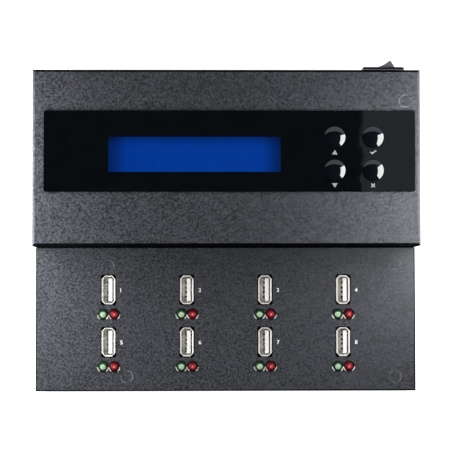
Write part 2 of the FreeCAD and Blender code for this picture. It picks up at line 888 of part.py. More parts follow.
def controller_chips():
    """The processor and a row of memory chips."""
    side, z0 = processor_side, controller_top
    y = controller_y
    chips = [box(-side / 2, side / 2, y - side / 2, y + side / 2, z0, z0 + processor_thick)]
    for index in range(2):
        x0 = -side - memory_width - index * memory_pitch
        y0 = y - memory_depth / 2
        chips.append(box(x0, x0 + memory_width, y0, y0 + memory_depth, z0, z0 + memory_thick))
    return group(chips)


def capacitors():
    z0, z1 = controller_top, controller_top + capacitor_height
    x0 = jack_x - jack_width / 2 - 2 * capacitor_radius
    y = controller_y1 - 2 * capacitor_radius
    cans = []
    for index in range(3):
        can = disc(x0 - index * capacitor_pitch, y, z0, z1, capacitor_radius)
        cans.append(can.makeFillet(foot_edge, [e for e in can.Edges if at_level(e, z1)]))
    return group(cans)


def header(x, y, z, width):
    """A shrouded pin header: a tray with a solid floor."""
    a, b = width / 2, header_depth / 2
    top = z + header_height
    outer = box(x - a, x + a, y - b, y + b, z, top)
    a, b = a - header_wall, b - header_wall
    return outer.cut(box(x - a, x + a, y - b, y + b, z + header_height / 2, top))


def board_headers():
    pieces = []
    wide = 2 * (header_wall + ribbon_thick)
    y = display_cable_y
    for x, width in ((window_x, ribbon_width), (keypad_cable_x, keypad_ribbon_width)):
        pieces.append(header(x, y, controller_top, width + wide))
        upper = header(x, y, 0, width + wide)
        upper.rotate(vector(x, y, 0), vector(1, 0, 0), 180)
        upper.translate(vector(0, 0, lcd_board_under))
        pieces.append(upper)
    for y, z in ((link_y0, port_board_top), (link_y1, controller_top)):
        pieces.append(header(0, y, z, link_ribbon_width + wide))
    pieces.append(header(wire_header_x, wire_header_y, controller_top, 2 * header_depth))
    return group(pieces)


def upright_cable(x, width):
    """A flat cable from the controller board up to a board under the hood."""
    low = controller_top + header_height / 2
    high = lcd_board_under - header_height / 2
    third = (high - low) / 3
    bow = 2 * header_depth
    y = display_cable_y
    points = [vector(x, y, low), vector(x, y, low + third), vector(x, y + bow, low + 1.5 * third)]
    points += [vector(x, y, low + 2 * third), vector(x, y, high)]
    return ribbon(points, ribbon_bend, ribbon_thick, width)


def link_cable():
    """The flat cable from the controller board to the port board."""
    points = [vector(0, link_y0, port_board_top + header_height / 2), vector(0, link_y0, link_top)]
    points += [vector(0, link_y1, link_top), vector(0, link_y1, controller_top + header_height / 2)]
    return ribbon(points, ribbon_bend, ribbon_thick, link_ribbon_width)


# Power inlet
def dc_jack():
    x0, x1 = jack_x - jack_width / 2, jack_x + jack_width / 2
    top = controller_top + jack_height
    block = box(x0, x1, jack_front - jack_depth, jack_front, controller_top, top)
    centre = vector(jack_x, jack_floor, jack_z)
    bore = Part.makeCylinder(jack_bore_radius, jack_bore_depth, centre, vector(0, 1, 0))
    rear = vector(jack_x, jack_front - jack_depth, jack_z)
    seat = Part.makeCylinder(jack_pin_root_radius, jack_depth, rear, vector(0, 1, 0))
    a = jack_spring_width / 2
    low = jack_z - jack_bore_radius - jack_spring_thick
    groove = box(jack_x - a, jack_x + a, jack_floor, jack_front - jack_pin_recess, low, jack_z)
    return cut(block, [bore, seat, groove])


def dc_jack_contacts():
    """The centre pin with its thicker root, and the spring strip in the bottom of the bore."""
    rear = vector(jack_x, jack_front - jack_depth, jack_z)
    length = jack_depth - jack_pin_recess
    pin = Part.makeCylinder(jack_pin_radius, length, rear, vector(0, 1, 0))
    root_length = jack_depth - jack_bore_depth
    root = Part.makeCylinder(jack_pin_root_radius, root_length, rear, vector(0, 1, 0))
    pin = fuse([pin, root])
    a = jack_spring_width / 2
    low = jack_z - jack_bore_radius - jack_spring_thick
    front = jack_front - jack_pin_recess
    strip = box(jack_x - a, jack_x + a, jack_floor, front, low, low + jack_spring_thick)
    return group([pin, strip])


# Rocker switch. The profiles lie in a plane across Z, with the pivot at the origin.
def switch_turn(shape, degrees, depth):
    """Turn about an upright axis at a depth behind the pivot, then move to the switch."""
    shape.rotate(vector(0, depth, 0), vector(0, 0, 1), degrees)
    shape.translate(vector(switch_x, pivot_y, switch_z))
    return shape


def switch_body():
    """The bezel and the housing behind it, with the bores of the rocker's trunnions."""
    a, c = bezel_length / 2, bezel_height / 2
    bezel = box(switch_x - a, switch_x + a, back_y, bezel_face_y, switch_z - c, switch_z + c)
    corners = [e for e in bezel.Edges if abs(e.Vertexes[0].Point.y - e.Vertexes[-1].Point.y) > 0.01]
    bezel = bezel.makeFillet(bezel_corner, corners)
    face = [e for e in bezel.Edges if all(abs(v.Point.y - bezel_face_y) < 0.001 for v in e.Vertexes)]
    bezel = bezel.makeFillet(bezel_edge, face)
    a, c = housing_length / 2, housing_height / 2
    rear = bezel_face_y - housing_depth
    pieces = [bezel, box(switch_x - a, switch_x + a, rear, back_y, switch_z - c, switch_z + c)]
    grip = back_y - sheet - housing_gap
    for side in (-1, 1):
        x0, x1 = sorted((switch_x + side * a, switch_x + side * (a + latch_rise)))
        z0, z1 = switch_z - latch_width / 2, switch_z + latch_width / 2
        pieces.append(box(x0, x1, grip - latch_length, grip, z0, z1))
    a, c = aperture_length / 2, aperture_height / 2
    floor = bezel_face_y - cavity_depth
    tools = [box(switch_x - a, switch_x + a, floor, bezel_face_y, switch_z - c, switch_z + c)]
    reach = rocker_width / 2 + trunnion_length + trunnion_fit
    radius = trunnion_radius + trunnion_fit
    tools.append(disc(switch_x, pivot_y, switch_z - reach, switch_z + reach, radius))
    for x in (0, -lever_half - contact_land / 2):
        middle = switch_x + x
        a, c = blade_thick / 2, blade_width / 2
        tools.append(box(middle - a, middle + a, rear, floor, switch_z - c, switch_z + c))
    return cut(fuse(pieces), tools)


def switch_rocker():
    """A rocker with a dished face, two trunnions and a bore for the sprung plunger."""
    draft = math.radians(rocker_draft)
    r = rocker_tip_radius
    dish_y = rocker_tip_y + math.sqrt((rocker_dish + r) ** 2 - rocker_tip_x ** 2)
    tip = vector(rocker_tip_x, rocker_tip_y, 0)
    inner = vector(0, dish_y, 0) + (tip - vector(0, dish_y, 0)).normalize() * rocker_dish
    outer = tip + vector(math.cos(draft), math.sin(draft), 0) * r
    top = tip + vector(0, r, 0)
    skirt = outer + vector(math.sin(draft), -math.cos(draft), 0) * rocker_skirt
    hub = vector(rocker_hub_half, -rocker_hub_depth, 0)
    right = [outer, skirt, hub]
    lower = right + [vector(-point.x, point.y, 0) for point in reversed(right)]
    edges = [Part.LineSegment(a, b).toShape() for a, b in zip(lower, lower[1:])]
    for side in (-1, 1):
        arc = [vector(side * point.x, point.y, 0) for point in (inner, top, outer)]
        edges.append(Part.Arc(*arc).toShape())
    ends = [vector(side * inner.x, inner.y, 0) for side in (-1, 1)]
    edges.append(Part.Arc(ends[0], vector(0, dish_y - rocker_dish, 0), ends[1]).toShape())
    profile = Part.Wire(Part.__sortEdges__(edges))
    body = Part.Face(profile).extrude(vector(0, 0, rocker_width))
    body.translate(vector(0, 0, -rocker_width / 2))
    body = body.makeFillet(rocker_end_round, [e for e in body.Edges if is_curved(e)])
    reach = rocker_width / 2 + trunnion_length
    trunnions = disc(0, 0, -reach, reach, trunnion_radius)
    radius = plunger_radius + plunger_fit
    depth = rocker_hub_depth + plunger_bore_top
    bore = Part.makeCylinder(radius, depth, vector(0, -rocker_hub_depth, 0), vector(0, 1, 0))
    return switch_turn(fuse([body, trunnions]).cut(bore), rocker_tilt, 0)


def switch_plunger():
    """The pin in the rocker that tips the contact over, with a round end."""
    end = vector(0, plunger_radius - plunger_reach, 0)
    length = plunger_reach - plunger_radius + plunger_top
    pin = Part.makeCylinder(plunger_radius, length, end, vector(0, 1, 0))
    return switch_turn(fuse([pin, Part.makeSphere(plunger_radius, end)]), rocker_tilt, 0)


def switch_contact():
    """The see-saw contact, tipped away from the fixed contact."""
    c = lever_width / 2
    lever = box(-lever_half, lever_half, lever_top - lever_thick, lever_top, -c, c)
    return switch_turn(lever, -lever_tilt, lever_axis)


def switch_terminals():
    """The centre blade, whose round edge carries the see-saw, and the fixed contact's blade."""
    c = blade_width / 2
    end = pivot_depth - housing_depth - blade_reach
    half = blade_thick / 2
    outer = lever_half + contact_land / 2
    centre = fuse([box(-half, half, end, lever_axis, -c, c), disc(0, lever_axis, -c, c, half)])
    fixed = box(-outer - half, -outer + half, end, contact_level, -c, c)
    pad_under = contact_level - blade_thick
    pad = box(-outer - half, -outer + contact_land, pad_under, contact_level, -c, c)
    return group([switch_turn(centre, 0, 0), switch_turn(fuse([fixed, pad]), 0, 0)])


def power_wires():
    """One wire from the header to each blade of the switch."""
    blade_end = bezel_face_y - housing_depth - blade_reach
    wires = []
    for x, index in ((0, 1), (-lever_half - contact_land / 2, -1)):
        start_x = wire_header_x + index * header_depth / 3
        low = controller_top + header_height / 2
        points = [vector(start_x, wire_header_y, low), vector(start_x, wire_header_y, switch_z)]
        points += [vector(switch_x + x, wire_header_y + 2 * wire_bend, switch_z)]
        points += [vector(switch_x + x, blade_end, switch_z)]
        wires.append(tube(points, wire_bend / 2, wire_radius))
    return group(wires)


# Fasteners of all boards
def standoffs():
    hung = [standoff(x, y, lcd_board_top, hood_under) for x, y in lcd_fixings() + keypad_fixings()]
    low = [standoff(x, y, pan_top, port_board_under) for x, y in port_fixings()]
    rear = [standoff(x, y, pan_top, controller_under) for x, y in controller_fixings()]
    return group(hung + low + rear)


def board_screws():
    hung = [board_screw(x, y, lcd_board_under, -1) for x, y in lcd_fixings() + keypad_fixings()]
    low = [board_screw(x, y, port_board_top, 1) for x, y in port_fixings()]
    rear = [board_screw(x, y, controller_top, 1) for x, y in controller_fixings()]
    return group(hung + low + rear)


def all_parts():
    """Every node's name with its shape."""
    parts = {
        "base_pan": base_pan(),
        "upper_cover": upper_cover(),
        "port_deck": port_deck(),
        "rubber_feet": group([foot(x, y) for x, y in foot_places()]),
        "cover_screws": group([cover_screw(*place) for place in cover_screw_places()]),
        "fascia_panel": fascia_panel(),
        "display_window": display_window(),
        "lcd_frame": lcd_frame(),
        "lcd_glass": lcd_glass(),
        "lcd_backlight": lcd_backlight(),
        "lcd_board": lcd_board(),
        "key_guide": key_guide(),
        "keypad_board": keypad_board(),
        "port_board": port_board(),
        "green_leds": group([led(x, y, -1) for x, y in led_centres(-1)]),
        "red_leds": group([led(x, y, 1) for x, y in led_centres(1)]),
        "led_leads": group([led_lead(x, y) for x, y in led_lead_places()]),
        "led_spacers": group([led_spacer(x, y) for x, y in led_centres(-1) + led_centres(1)]),
        "controller_board": controller_board(),
        "controller_chips": controller_chips(),
        "capacitors": capacitors(),
        "board_headers": board_headers(),
        "display_cable": upright_cable(window_x, ribbon_width),
        "keypad_cable": upright_cable(keypad_cable_x, keypad_ribbon_width),
        "link_cable": link_cable(),
        "power_wires": power_wires(),
        "dc_jack": dc_jack(),
        "dc_jack_contacts": dc_jack_contacts(),
        "switch_body": switch_body(),
        "switch_rocker": switch_rocker(),
        "switch_plunger": switch_plunger(),
        "switch_contact": switch_contact(),
        "switch_terminals": switch_terminals(),
        "standoffs": standoffs(),
        "board_screws": board_screws(),
    }
    for name, place in button_places.items():
        parts["button_" + name] = button(*place)
        parts["snap_dome_" + name] = snap_dome(*place)
    for number, shape in enumerate(at_ports(usb_shell()), start=1):
        parts[f"usb_shell_{number}"] = shape
    for number, shape in enumerate(at_ports(usb_insert()), start=1):
        parts[f"usb_insert_{number}"] = shape
    contacts = []
    for offset in contact_offsets:
        contacts += at_ports(usb_contact(offset))
    parts["usb_contacts"] = group(contacts)
    return parts


os.makedirs("parts", exist_ok=True)
for name, shape in all_parts().items():
    print(f"{name}: {len(shape.Solids)} solids, valid {shape.isValid()}, {shape.Volume:.1f} mm3")
    shape.exportStep(f"parts/{name}.step")
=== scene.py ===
import math

import bmesh
import bpy
from mathutils import Matrix, Vector


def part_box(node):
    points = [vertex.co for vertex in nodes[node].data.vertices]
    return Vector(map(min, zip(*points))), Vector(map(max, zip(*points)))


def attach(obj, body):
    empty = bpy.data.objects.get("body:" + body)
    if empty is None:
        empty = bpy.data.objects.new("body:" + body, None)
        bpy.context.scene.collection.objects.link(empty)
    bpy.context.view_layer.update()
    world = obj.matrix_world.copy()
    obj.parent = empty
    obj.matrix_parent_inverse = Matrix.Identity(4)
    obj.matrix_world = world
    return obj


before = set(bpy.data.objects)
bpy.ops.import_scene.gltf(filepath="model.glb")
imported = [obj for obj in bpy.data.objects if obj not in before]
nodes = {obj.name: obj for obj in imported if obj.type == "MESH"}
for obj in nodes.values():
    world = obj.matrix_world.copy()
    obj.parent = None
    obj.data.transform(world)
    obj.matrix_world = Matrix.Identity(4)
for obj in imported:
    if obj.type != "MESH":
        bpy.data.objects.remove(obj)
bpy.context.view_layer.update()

MM = 0.001

# Camera of the photograph, above the object and a little to its left and front
camera_place = Vector((-0.0203, -0.038363, 0.9771))
camera_roll = 0.046
camera_pan = 1.232
camera_tilt = -2.34
camera_lens = 154.9
camera_sensor = 36.0

# Printed marks beside the ports and under the buttons
print_thick = 0.03 * MM
number_height = 1.95 * MM
number_weight = 0.02
number_depth = 0.5
number_offset = 5.75 * MM
number_drop = 0.15 * MM
symbol_drop = 7.15 * MM
symbol_half = 1.05 * MM
arrow_half = 1.35 * symbol_half
tick_left = 1.4 * symbol_half
tick_foot = 0.45 * symbol_half
tick_right = 1.3 * symbol_half
stroke_half = 0.3 * MM


def node(tree, kind, **settings):
    """A new shader node with its settings."""
    made = tree.nodes.new(kind)
    for name, value in settings.items():
        setattr(made, name, value)
    return made


def start(name, **inputs):
    """A new material: the material, its tree and its Principled shader with inputs set."""
    made = bpy.data.materials.new(name)
    made.use_nodes = True
    shader = made.node_tree.nodes["Principled BSDF"]
    for socket, value in inputs.items():
        shader.inputs[socket.replace("_", " ")].default_value = value
    return made, made.node_tree, shader


def place(tree):
    """The point on the object, in metres in the frame."""
    return node(tree, "ShaderNodeTexCoord").outputs["Object"]


def noise(tree, size, detail=3.0, stretch=(1, 1, 1)):
    """Noise with grains about size metres across, drawn out along an axis by a small stretch."""
    mapping = node(tree, "ShaderNodeMapping")
    mapping.inputs["Scale"].default_value = stretch
    tree.links.new(place(tree), mapping.inputs["Vector"])
    made = node(tree, "ShaderNodeTexNoise")
    made.inputs["Scale"].default_value = 1 / size
    made.inputs["Detail"].default_value = detail
    tree.links.new(mapping.outputs["Vector"], made.inputs["Vector"])
    return made.outputs["Fac"]


def value(tree, kind, *terms):
    """A Math node over numbers and sockets."""
    made = node(tree, "ShaderNodeMath", operation=kind)
    for socket, term in zip(made.inputs, terms):
        if isinstance(term, bpy.types.NodeSocket):
            tree.links.new(term, socket)
        else:
            socket.default_value = term
    return made.outputs["Value"]


def spread(tree, factor, low, high, to_low=0.0, to_high=1.0, smooth=False):
    """factor from low..high taken to to_low..to_high, and held outside."""
    made = node(tree, "ShaderNodeMapRange")
    if smooth:
        made.interpolation_type = "SMOOTHSTEP"
    settings = (("From Min", low), ("From Max", high), ("To Min", to_low), ("To Max", to_high))
    for socket, number in settings:
        made.inputs[socket].default_value = number
    tree.links.new(factor, made.inputs["Value"])
    return made.outputs["Result"]


def colours(tree, factor, *stops):
    """A colour ramp over (position, (r, g, b)) stops."""
    made = node(tree, "ShaderNodeValToRGB")
    elements = made.color_ramp.elements
    while len(elements) < len(stops):
        elements.new(0.5)
    for element, (position, colour) in zip(elements, stops):
        element.position = position
        element.color = (*colour, 1)
    tree.links.new(factor, made.inputs["Fac"])
    return made.outputs["Color"]


def blended(tree, factor, below, above):
    """Colour or shade above over below, by factor."""
    made = node(tree, "ShaderNodeMix", data_type="RGBA")
    tree.links.new(factor, made.inputs["Factor"])
    for socket, term in ((made.inputs["A"], below), (made.inputs["B"], above)):
        socket = next(s for s in made.inputs if s.name == socket.name and s.type == "RGBA")
        if isinstance(term, bpy.types.NodeSocket):
            tree.links.new(term, socket)
        else:
            socket.default_value = (*term, 1)
    return next(s for s in made.outputs if s.type == "RGBA")


def bumped(tree, shader, height, depth):
    """Relief of the given height field, depth metres high."""
    made = node(tree, "ShaderNodeBump")
    made.inputs["Distance"].default_value = depth
    tree.links.new(height, made.inputs["Height"])
    tree.links.new(made.outputs["Normal"], shader.inputs["Normal"])


def finish(name, dark, light, grain, rough, depth, stretch=(1, 1, 1), **inputs):
    """A surface that varies between two colours and two roughnesses, with a fine relief."""
    made, tree, shader = start(name, **inputs)
    fine = noise(tree, grain, 4.0, stretch)
    broad = noise(tree, grain * 12, 2.0, stretch)
    tree.links.new(colours(tree, fine, (0.3, dark), (0.7, light)), shader.inputs["Base Color"])
    tree.links.new(spread(tree, broad, 0.3, 0.7, *rough), shader.inputs["Roughness"])
    bumped(tree, shader, fine, depth)
    return made


def coordinates(tree):
    """The point's X, Y and Z outputs."""
    split = node(tree, "ShaderNodeSeparateXYZ")
    tree.links.new(place(tree), split.inputs["Vector"])
    return split.outputs


def wrapped(tree, centre, pitch):
    """The point's offset from the nearest of a grid of centres, as x and y sockets."""
    point = coordinates(tree)
    offsets = []
    for axis in range(2):
        moved = value(tree, "SUBTRACT", point[axis], centre[axis])
        offsets.append(value(tree, "WRAP", moved, -pitch[axis] / 2, pitch[axis] / 2))
    return offsets


def radius(tree, x, y):
    """Distance of the point at the x and y offsets from their origin."""
    squares = [value(tree, "MULTIPLY", offset, offset) for offset in (x, y)]
    return value(tree, "SQRT", value(tree, "ADD", *squares))


# Powder coat

scuff_radius = 2.9 * MM
scuff_width = 0.35 * MM
stud_places = ((-0.0575, -0.019), (0.0823, -0.018), (0.0825, -0.0730), (-0.0482, -0.0730))
hood_stud_place = (0.0852, 0.0590)
step_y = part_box("upper_cover")[0].y
deck_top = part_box("port_deck")[1].z
soft_edge = 0.1 * MM
# Reach and fade of the painted shade along the step's wall
wall_reach = 1.8 * MM
wall_fade = 0.2 * MM
# Width and fade of the painted contact shadow on the deck at the foot of the step
step_shadow_half = 0.25 * MM
step_shadow_fade = 0.4 * MM
coat_speck = 0.8 * MM
coat_cloud = 14 * MM
coat_relief = 0.05 * MM


def scuffs(tree, places):
    """Faint rings where studs are pressed in from behind, broken up by noise."""
    point = coordinates(tree)
    rings = None
    for x, y in places:
        dx = value(tree, "SUBTRACT", point["X"], x)
        dy = value(tree, "SUBTRACT", point["Y"], y)
        off = value(tree, "ABSOLUTE", value(tree, "SUBTRACT", radius(tree, dx, dy), scuff_radius))
        ring = spread(tree, off, 0.0, scuff_width, 1.0, 0.0, smooth=True)
        rings = ring if rings is None else value(tree, "MAXIMUM", rings, ring)
    broken = spread(tree, noise(tree, 4 * MM, 2.0), 0.44, 0.58)
    return value(tree, "MULTIPLY", rings, broken)


def folds(tree):
    """1 where shade is painted: black on the folded edges, a contact shadow on the deck at the foot of
    the step and, at a glance, along the step's wall.
    """
    normal = node(tree, "ShaderNodeNewGeometry").outputs["True Normal"]
    facing = node(tree, "ShaderNodeSeparateXYZ")
    tree.links.new(normal, facing.inputs["Vector"])
    point = coordinates(tree)
    tilted = spread(tree, facing.outputs["Z"], 0.97, 0.995, 1.0, 0.0)
    upward = spread(tree, facing.outputs["Z"], 0.02, 0.10)
    lengthwise = spread(tree, value(tree, "ABSOLUTE", facing.outputs["Y"]), 0.1, 0.25)
    low_part = spread(tree, point["Y"], step_y, step_y + soft_edge, 1.0, 0.0)
    edges = value(tree, "MULTIPLY", value(tree, "MAXIMUM", lengthwise, low_part), upward)
    from_step = value(tree, "ABSOLUTE", value(tree, "SUBTRACT", point["Y"], step_y))
    near_step = spread(tree, from_step, wall_reach, wall_reach + wall_fade, 1.0, 0.0)
    near_step = value(tree, "MULTIPLY", near_step, lengthwise)
    # Painted shade on the step's wall, stronger the more edge-on it is seen
    glance = node(tree, "ShaderNodeLayerWeight").outputs["Facing"]
    wall = value(tree, "MULTIPLY", near_step, spread(tree, glance, 0.80, 0.92))
    bent = value(tree, "MULTIPLY", tilted, value(tree, "MAXIMUM", edges, wall))
    # Painted contact shadow on the deck at the foot of the step
    low = spread(tree, point["Z"], deck_top, deck_top + soft_edge, 1.0, 0.0)
    step_shadow = spread(tree, from_step, step_shadow_half, step_shadow_half + step_shadow_fade, 1.0, 0.0)
    return value(tree, "MAXIMUM", bent, value(tree, "MULTIPLY", step_shadow, low))


def powder_coat(name, places):
    """Dark textured powder coat with faint stud rings at the places, and black shade painted on the
    folds, at the foot of the step and on its wall, with their reflections taken away.
    """
    made, tree, shader = start(name, Coat_Roughness=0.38, Coat_IOR=1.6, Specular_IOR_Level=0.8)
    fine = noise(tree, coat_speck)
    cloud = noise(tree, coat_cloud)
    speck = colours(tree, fine, (0.36, (0.004, 0.0043, 0.005)), (0.66, (0.064, 0.067, 0.0745)))
    cloudy = colours(tree, cloud, (0.3, (0.026, 0.0275, 0.031)), (0.7, (0.033, 0.035, 0.039)))
    ground = blended(tree, spread(tree, cloud, 0.2, 0.8, 0.25, 0.45), speck, cloudy)
    rings = scuffs(tree, places)
    worn = blended(tree, value(tree, "MULTIPLY", rings, 0.8), ground, (0.16, 0.165, 0.18))
    # Painted shade: base colour nearly black and specular and coat gone where fold_shade is 1
    fold_shade = folds(tree)
    tree.links.new(blended(tree, fold_shade, worn, (0.002, 0.0022, 0.0028)), shader.inputs["Base Color"])
    tree.links.new(spread(tree, fold_shade, 0.0, 1.0, 0.8, 0.0), shader.inputs["Specular IOR Level"])
    tree.links.new(spread(tree, fold_shade, 0.0, 1.0, 1.0, 0.0), shader.inputs["Coat Weight"])
    rough = spread(tree, cloud, 0.3, 0.7, 0.38, 0.42)
    relief = value(tree, "ADD", fine, value(tree, "MULTIPLY", rings, 0.5))
    tree.links.new(rough, shader.inputs["Roughness"])
    bumped(tree, shader, relief, coat_relief)
    return made


# Fascia, display and buttons

cell_pitch_x = 4.95 * MM
cell_pitch_y = 6.9 * MM
cell_half_x = 1.6 * MM
cell_half_y = 2.7 * MM
cell_fade = 0.15 * MM
dot_pitch = 0.66 * MM
dot_half = 0.26 * MM
dot_fade = 0.05 * MM


def fascia_black():
    """High-gloss black film with faint hairlines."""
    made, tree, shader = start("fascia_black", Specular_IOR_Level=0.5)
    cloud = noise(tree, 9 * MM, 2.0)
    tone = colours(tree, cloud, (0.3, (0.0042, 0.0066, 0.0084)), (0.7, (0.0060, 0.0090, 0.0115)))
    tree.links.new(tone, shader.inputs["Base Color"])
    hair = noise(tree, 1.4 * MM, 2.0, (1, 0.05, 1))
    tree.links.new(spread(tree, hair, 0.45, 0.75, 0.015, 0.04), shader.inputs["Roughness"])
    bumped(tree, shader, cloud, 0.0015 * MM)
    return made


def button_black():
    """Polished black plastic."""
    made, tree, shader = start("button_black", IOR=1.8, Specular_IOR_Level=0.47)
    cloud = noise(tree, 3 * MM, 2.0)
    tone = colours(tree, cloud, (0.3, (0.002, 0.003, 0.0042)), (0.7, (0.0028, 0.004, 0.0055)))
    tree.links.new(tone, shader.inputs["Base Color"])
    tree.links.new(spread(tree, cloud, 0.3, 0.7, 0.03, 0.06), shader.inputs["Roughness"])
    bumped(tree, shader, noise(tree, 0.8 * MM, 2.0), 0.0006 * MM)
    return made


def clear_window():
    """Clear acrylic of the display window."""
    made, tree, shader = start("clear_window", Transmission_Weight=1.0, IOR=1.49)
    cloud = noise(tree, 6 * MM, 2.0)
    tone = colours(tree, cloud, (0.3, (0.90, 0.93, 0.98)), (0.7, (0.96, 0.97, 1.0)))
    tree.links.new(tone, shader.inputs["Base Color"])
    tree.links.new(spread(tree, cloud, 0.3, 0.7, 0.0, 0.02), shader.inputs["Roughness"])
    return made


def lcd_blue():
    """Blue back-lit display glass with faint character cells, painted shade of its recess towards
    its sides and top, and a painted glint along its bottom edge.
    """
    made, tree, shader = start("lcd_blue", Roughness=0.25)
    low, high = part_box("display_window")
    middle = (low + high) / 2
    reach = (high - low) / 2
    point = coordinates(tree)
    across = value(tree, "DIVIDE", value(tree, "SUBTRACT", point["X"], middle.x), reach.x)
    along = value(tree, "DIVIDE", value(tree, "SUBTRACT", point["Y"], middle.y), reach.y)
    # Painted shade of the window's recess: the glow falls off towards the left and right ends and the
    # top
    side = spread(tree, value(tree, "ABSOLUTE", across), 0.72, 0.98, 1.0, 0.42, smooth=True)
    top = spread(tree, along, 0.3, 1.0, 1.0, 0.55, smooth=True)
    first_cell = (middle.x, middle.y + cell_pitch_y / 2)
    cell_x, cell_y = wrapped(tree, first_cell, (cell_pitch_x, cell_pitch_y))
    cell_x = value(tree, "ABSOLUTE", cell_x)
    cell_y = value(tree, "ABSOLUTE", cell_y)
    in_x = spread(tree, cell_x, cell_half_x, cell_half_x + cell_fade, 1.0, 0.0)
    in_y = spread(tree, cell_y, cell_half_y, cell_half_y + cell_fade, 1.0, 0.0)
    dot_x, dot_y = wrapped(tree, (middle.x, middle.y), (dot_pitch, dot_pitch))
    edge = value(tree, "MAXIMUM", value(tree, "ABSOLUTE", dot_x), value(tree, "ABSOLUTE", dot_y))
    dots = spread(tree, edge, dot_half, dot_half + dot_fade, 1.0, 0.0)
    cells = value(tree, "MULTIPLY", value(tree, "MULTIPLY", in_x, in_y), dots)
    cloud = spread(tree, noise(tree, 25 * MM, 2.0), 0.3, 0.7, 0.94, 1.06)
    glow = value(tree, "MULTIPLY", value(tree, "MULTIPLY", side, top), cloud)
    dimmed = value(tree, "SUBTRACT", 1.0, value(tree, "MULTIPLY", cells, 0.03))
    glow = value(tree, "MULTIPLY", glow, dimmed)
    tone = colours(tree, glow, (0.25, (0.0, 0.010, 0.06)), (0.98, (0.0, 0.042, 0.31)))
    # Painted glint: a paler line along the bottom edge of the display
    edge_glint = spread(tree, along, -0.97, -0.94, 1.0, 0.0)
    tone = blended(tree, edge_glint, tone, (0.03, 0.055, 0.15))
    tree.links.new(tone, shader.inputs["Emission Color"])
    shader.inputs["Emission Strength"].default_value = 1.0
    ground = colours(tree, cells, (0.0, (0.001, 0.012, 0.07)), (1.0, (0.001, 0.009, 0.055)))
    tree.links.new(ground, shader.inputs["Base Color"])
    return made


# Ports, lamps and switch

port_pitch_x = (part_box("usb_shell_2")[0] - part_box("usb_shell_1")[0]).x
port_pitch_y = (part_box("usb_shell_1")[0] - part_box("usb_shell_5")[0]).y
port_columns = 4
port_rows = 2
lip_low = 1.2 * MM
lip_high = 0.8 * MM
led_radius = 2.8 * MM
core_drop = 0.3 * MM
core_end = 0.54
rim_inner = 2.5 * MM
rim_width = 0.32 * MM
rim_sway = 0.16 * MM
rim_height = 0.2 * MM
rim_slope = math.tan(math.radians(36))
rim_edge = 0.05 * MM
rim_edge_drop = 0.03 * MM
rim_foot = 0.06 * MM
rim_sunk = 0.1 * MM
rim_turns = 48
bezel_face = 1.1 * MM
bezel_fade = 0.15 * MM


def nickel():
    """Bright nickel-plated sheet with drawing lines along the port, glossier below the lip."""
    made = finish("nickel", (0.87, 0.845, 0.78), (0.97, 0.95, 0.90), 0.5 * MM, (0.52, 0.64),
                  0.006 * MM, (1, 1, 0.15), Metallic=0.55)
    tree = made.node_tree
    shader = tree.nodes["Principled BSDF"]
    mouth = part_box("usb_shell_1")[1].z
    lip = spread(tree, coordinates(tree)["Z"], mouth - lip_low, mouth - lip_high, 0.35, 1.0)
    rough = shader.inputs["Roughness"].links[0].from_socket
    tree.links.new(value(tree, "MULTIPLY", rough, lip), shader.inputs["Roughness"])
    return made


def led(name, rim, body, core, spark, bright, flat):
    """Tinted LED: a core over the chip, painted with the lit reflector cup seen through the lens and
    glowing as painted light, even out to the share flat of the radius, and a dark ring round it."""
    made, tree, shader = start(name, Roughness=0.3, IOR=1.45, Specular_IOR_Level=0.12)
    low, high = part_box(name)
    first = Vector((low.x + led_radius, low.y + led_radius - core_drop))
    x, y = wrapped(tree, first, (port_pitch_x, port_pitch_y))
    out = value(tree, "DIVIDE", radius(tree, x, y), led_radius)
    uneven = spread(tree, noise(tree, 0.7 * MM, 2.0), 0.3, 0.7, -0.05, 0.05)
    out = value(tree, "ADD", out, uneven)
    # Painted reflection of the lit reflector cup in the core; on the red lamps the centre spot is a
    # painted highlight
    tone = colours(tree, out, (0.05, spark), (flat, core), (core_end, body), (0.95, rim))
    tree.links.new(tone, shader.inputs["Base Color"])
    # Painted glow: the core gives off light of its own
    glow = colours(tree, out, (flat, bright), (core_end, (0, 0, 0)))
    tree.links.new(glow, shader.inputs["Emission Color"])
    shader.inputs["Emission Strength"].default_value = 1.0
    return made


def switch_shell():
    """Plastic of the switch body, black round the face of its bezel and grey behind it."""
    made = finish("switch_shell", (0.22, 0.21, 0.23), (0.28, 0.27, 0.29), 0.3 * MM, (0.4, 0.5),
                  0.01 * MM)
    tree = made.node_tree
    shader = tree.nodes["Principled BSDF"]
    face_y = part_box("upper_cover")[1].y + bezel_face
    face = spread(tree, coordinates(tree)["Y"], face_y, face_y + bezel_fade)
    grey = shader.inputs["Base Color"].links[0].from_socket
    tree.links.new(blended(tree, face, grey, (0.012, 0.0115, 0.014)), shader.inputs["Base Color"])
    return made


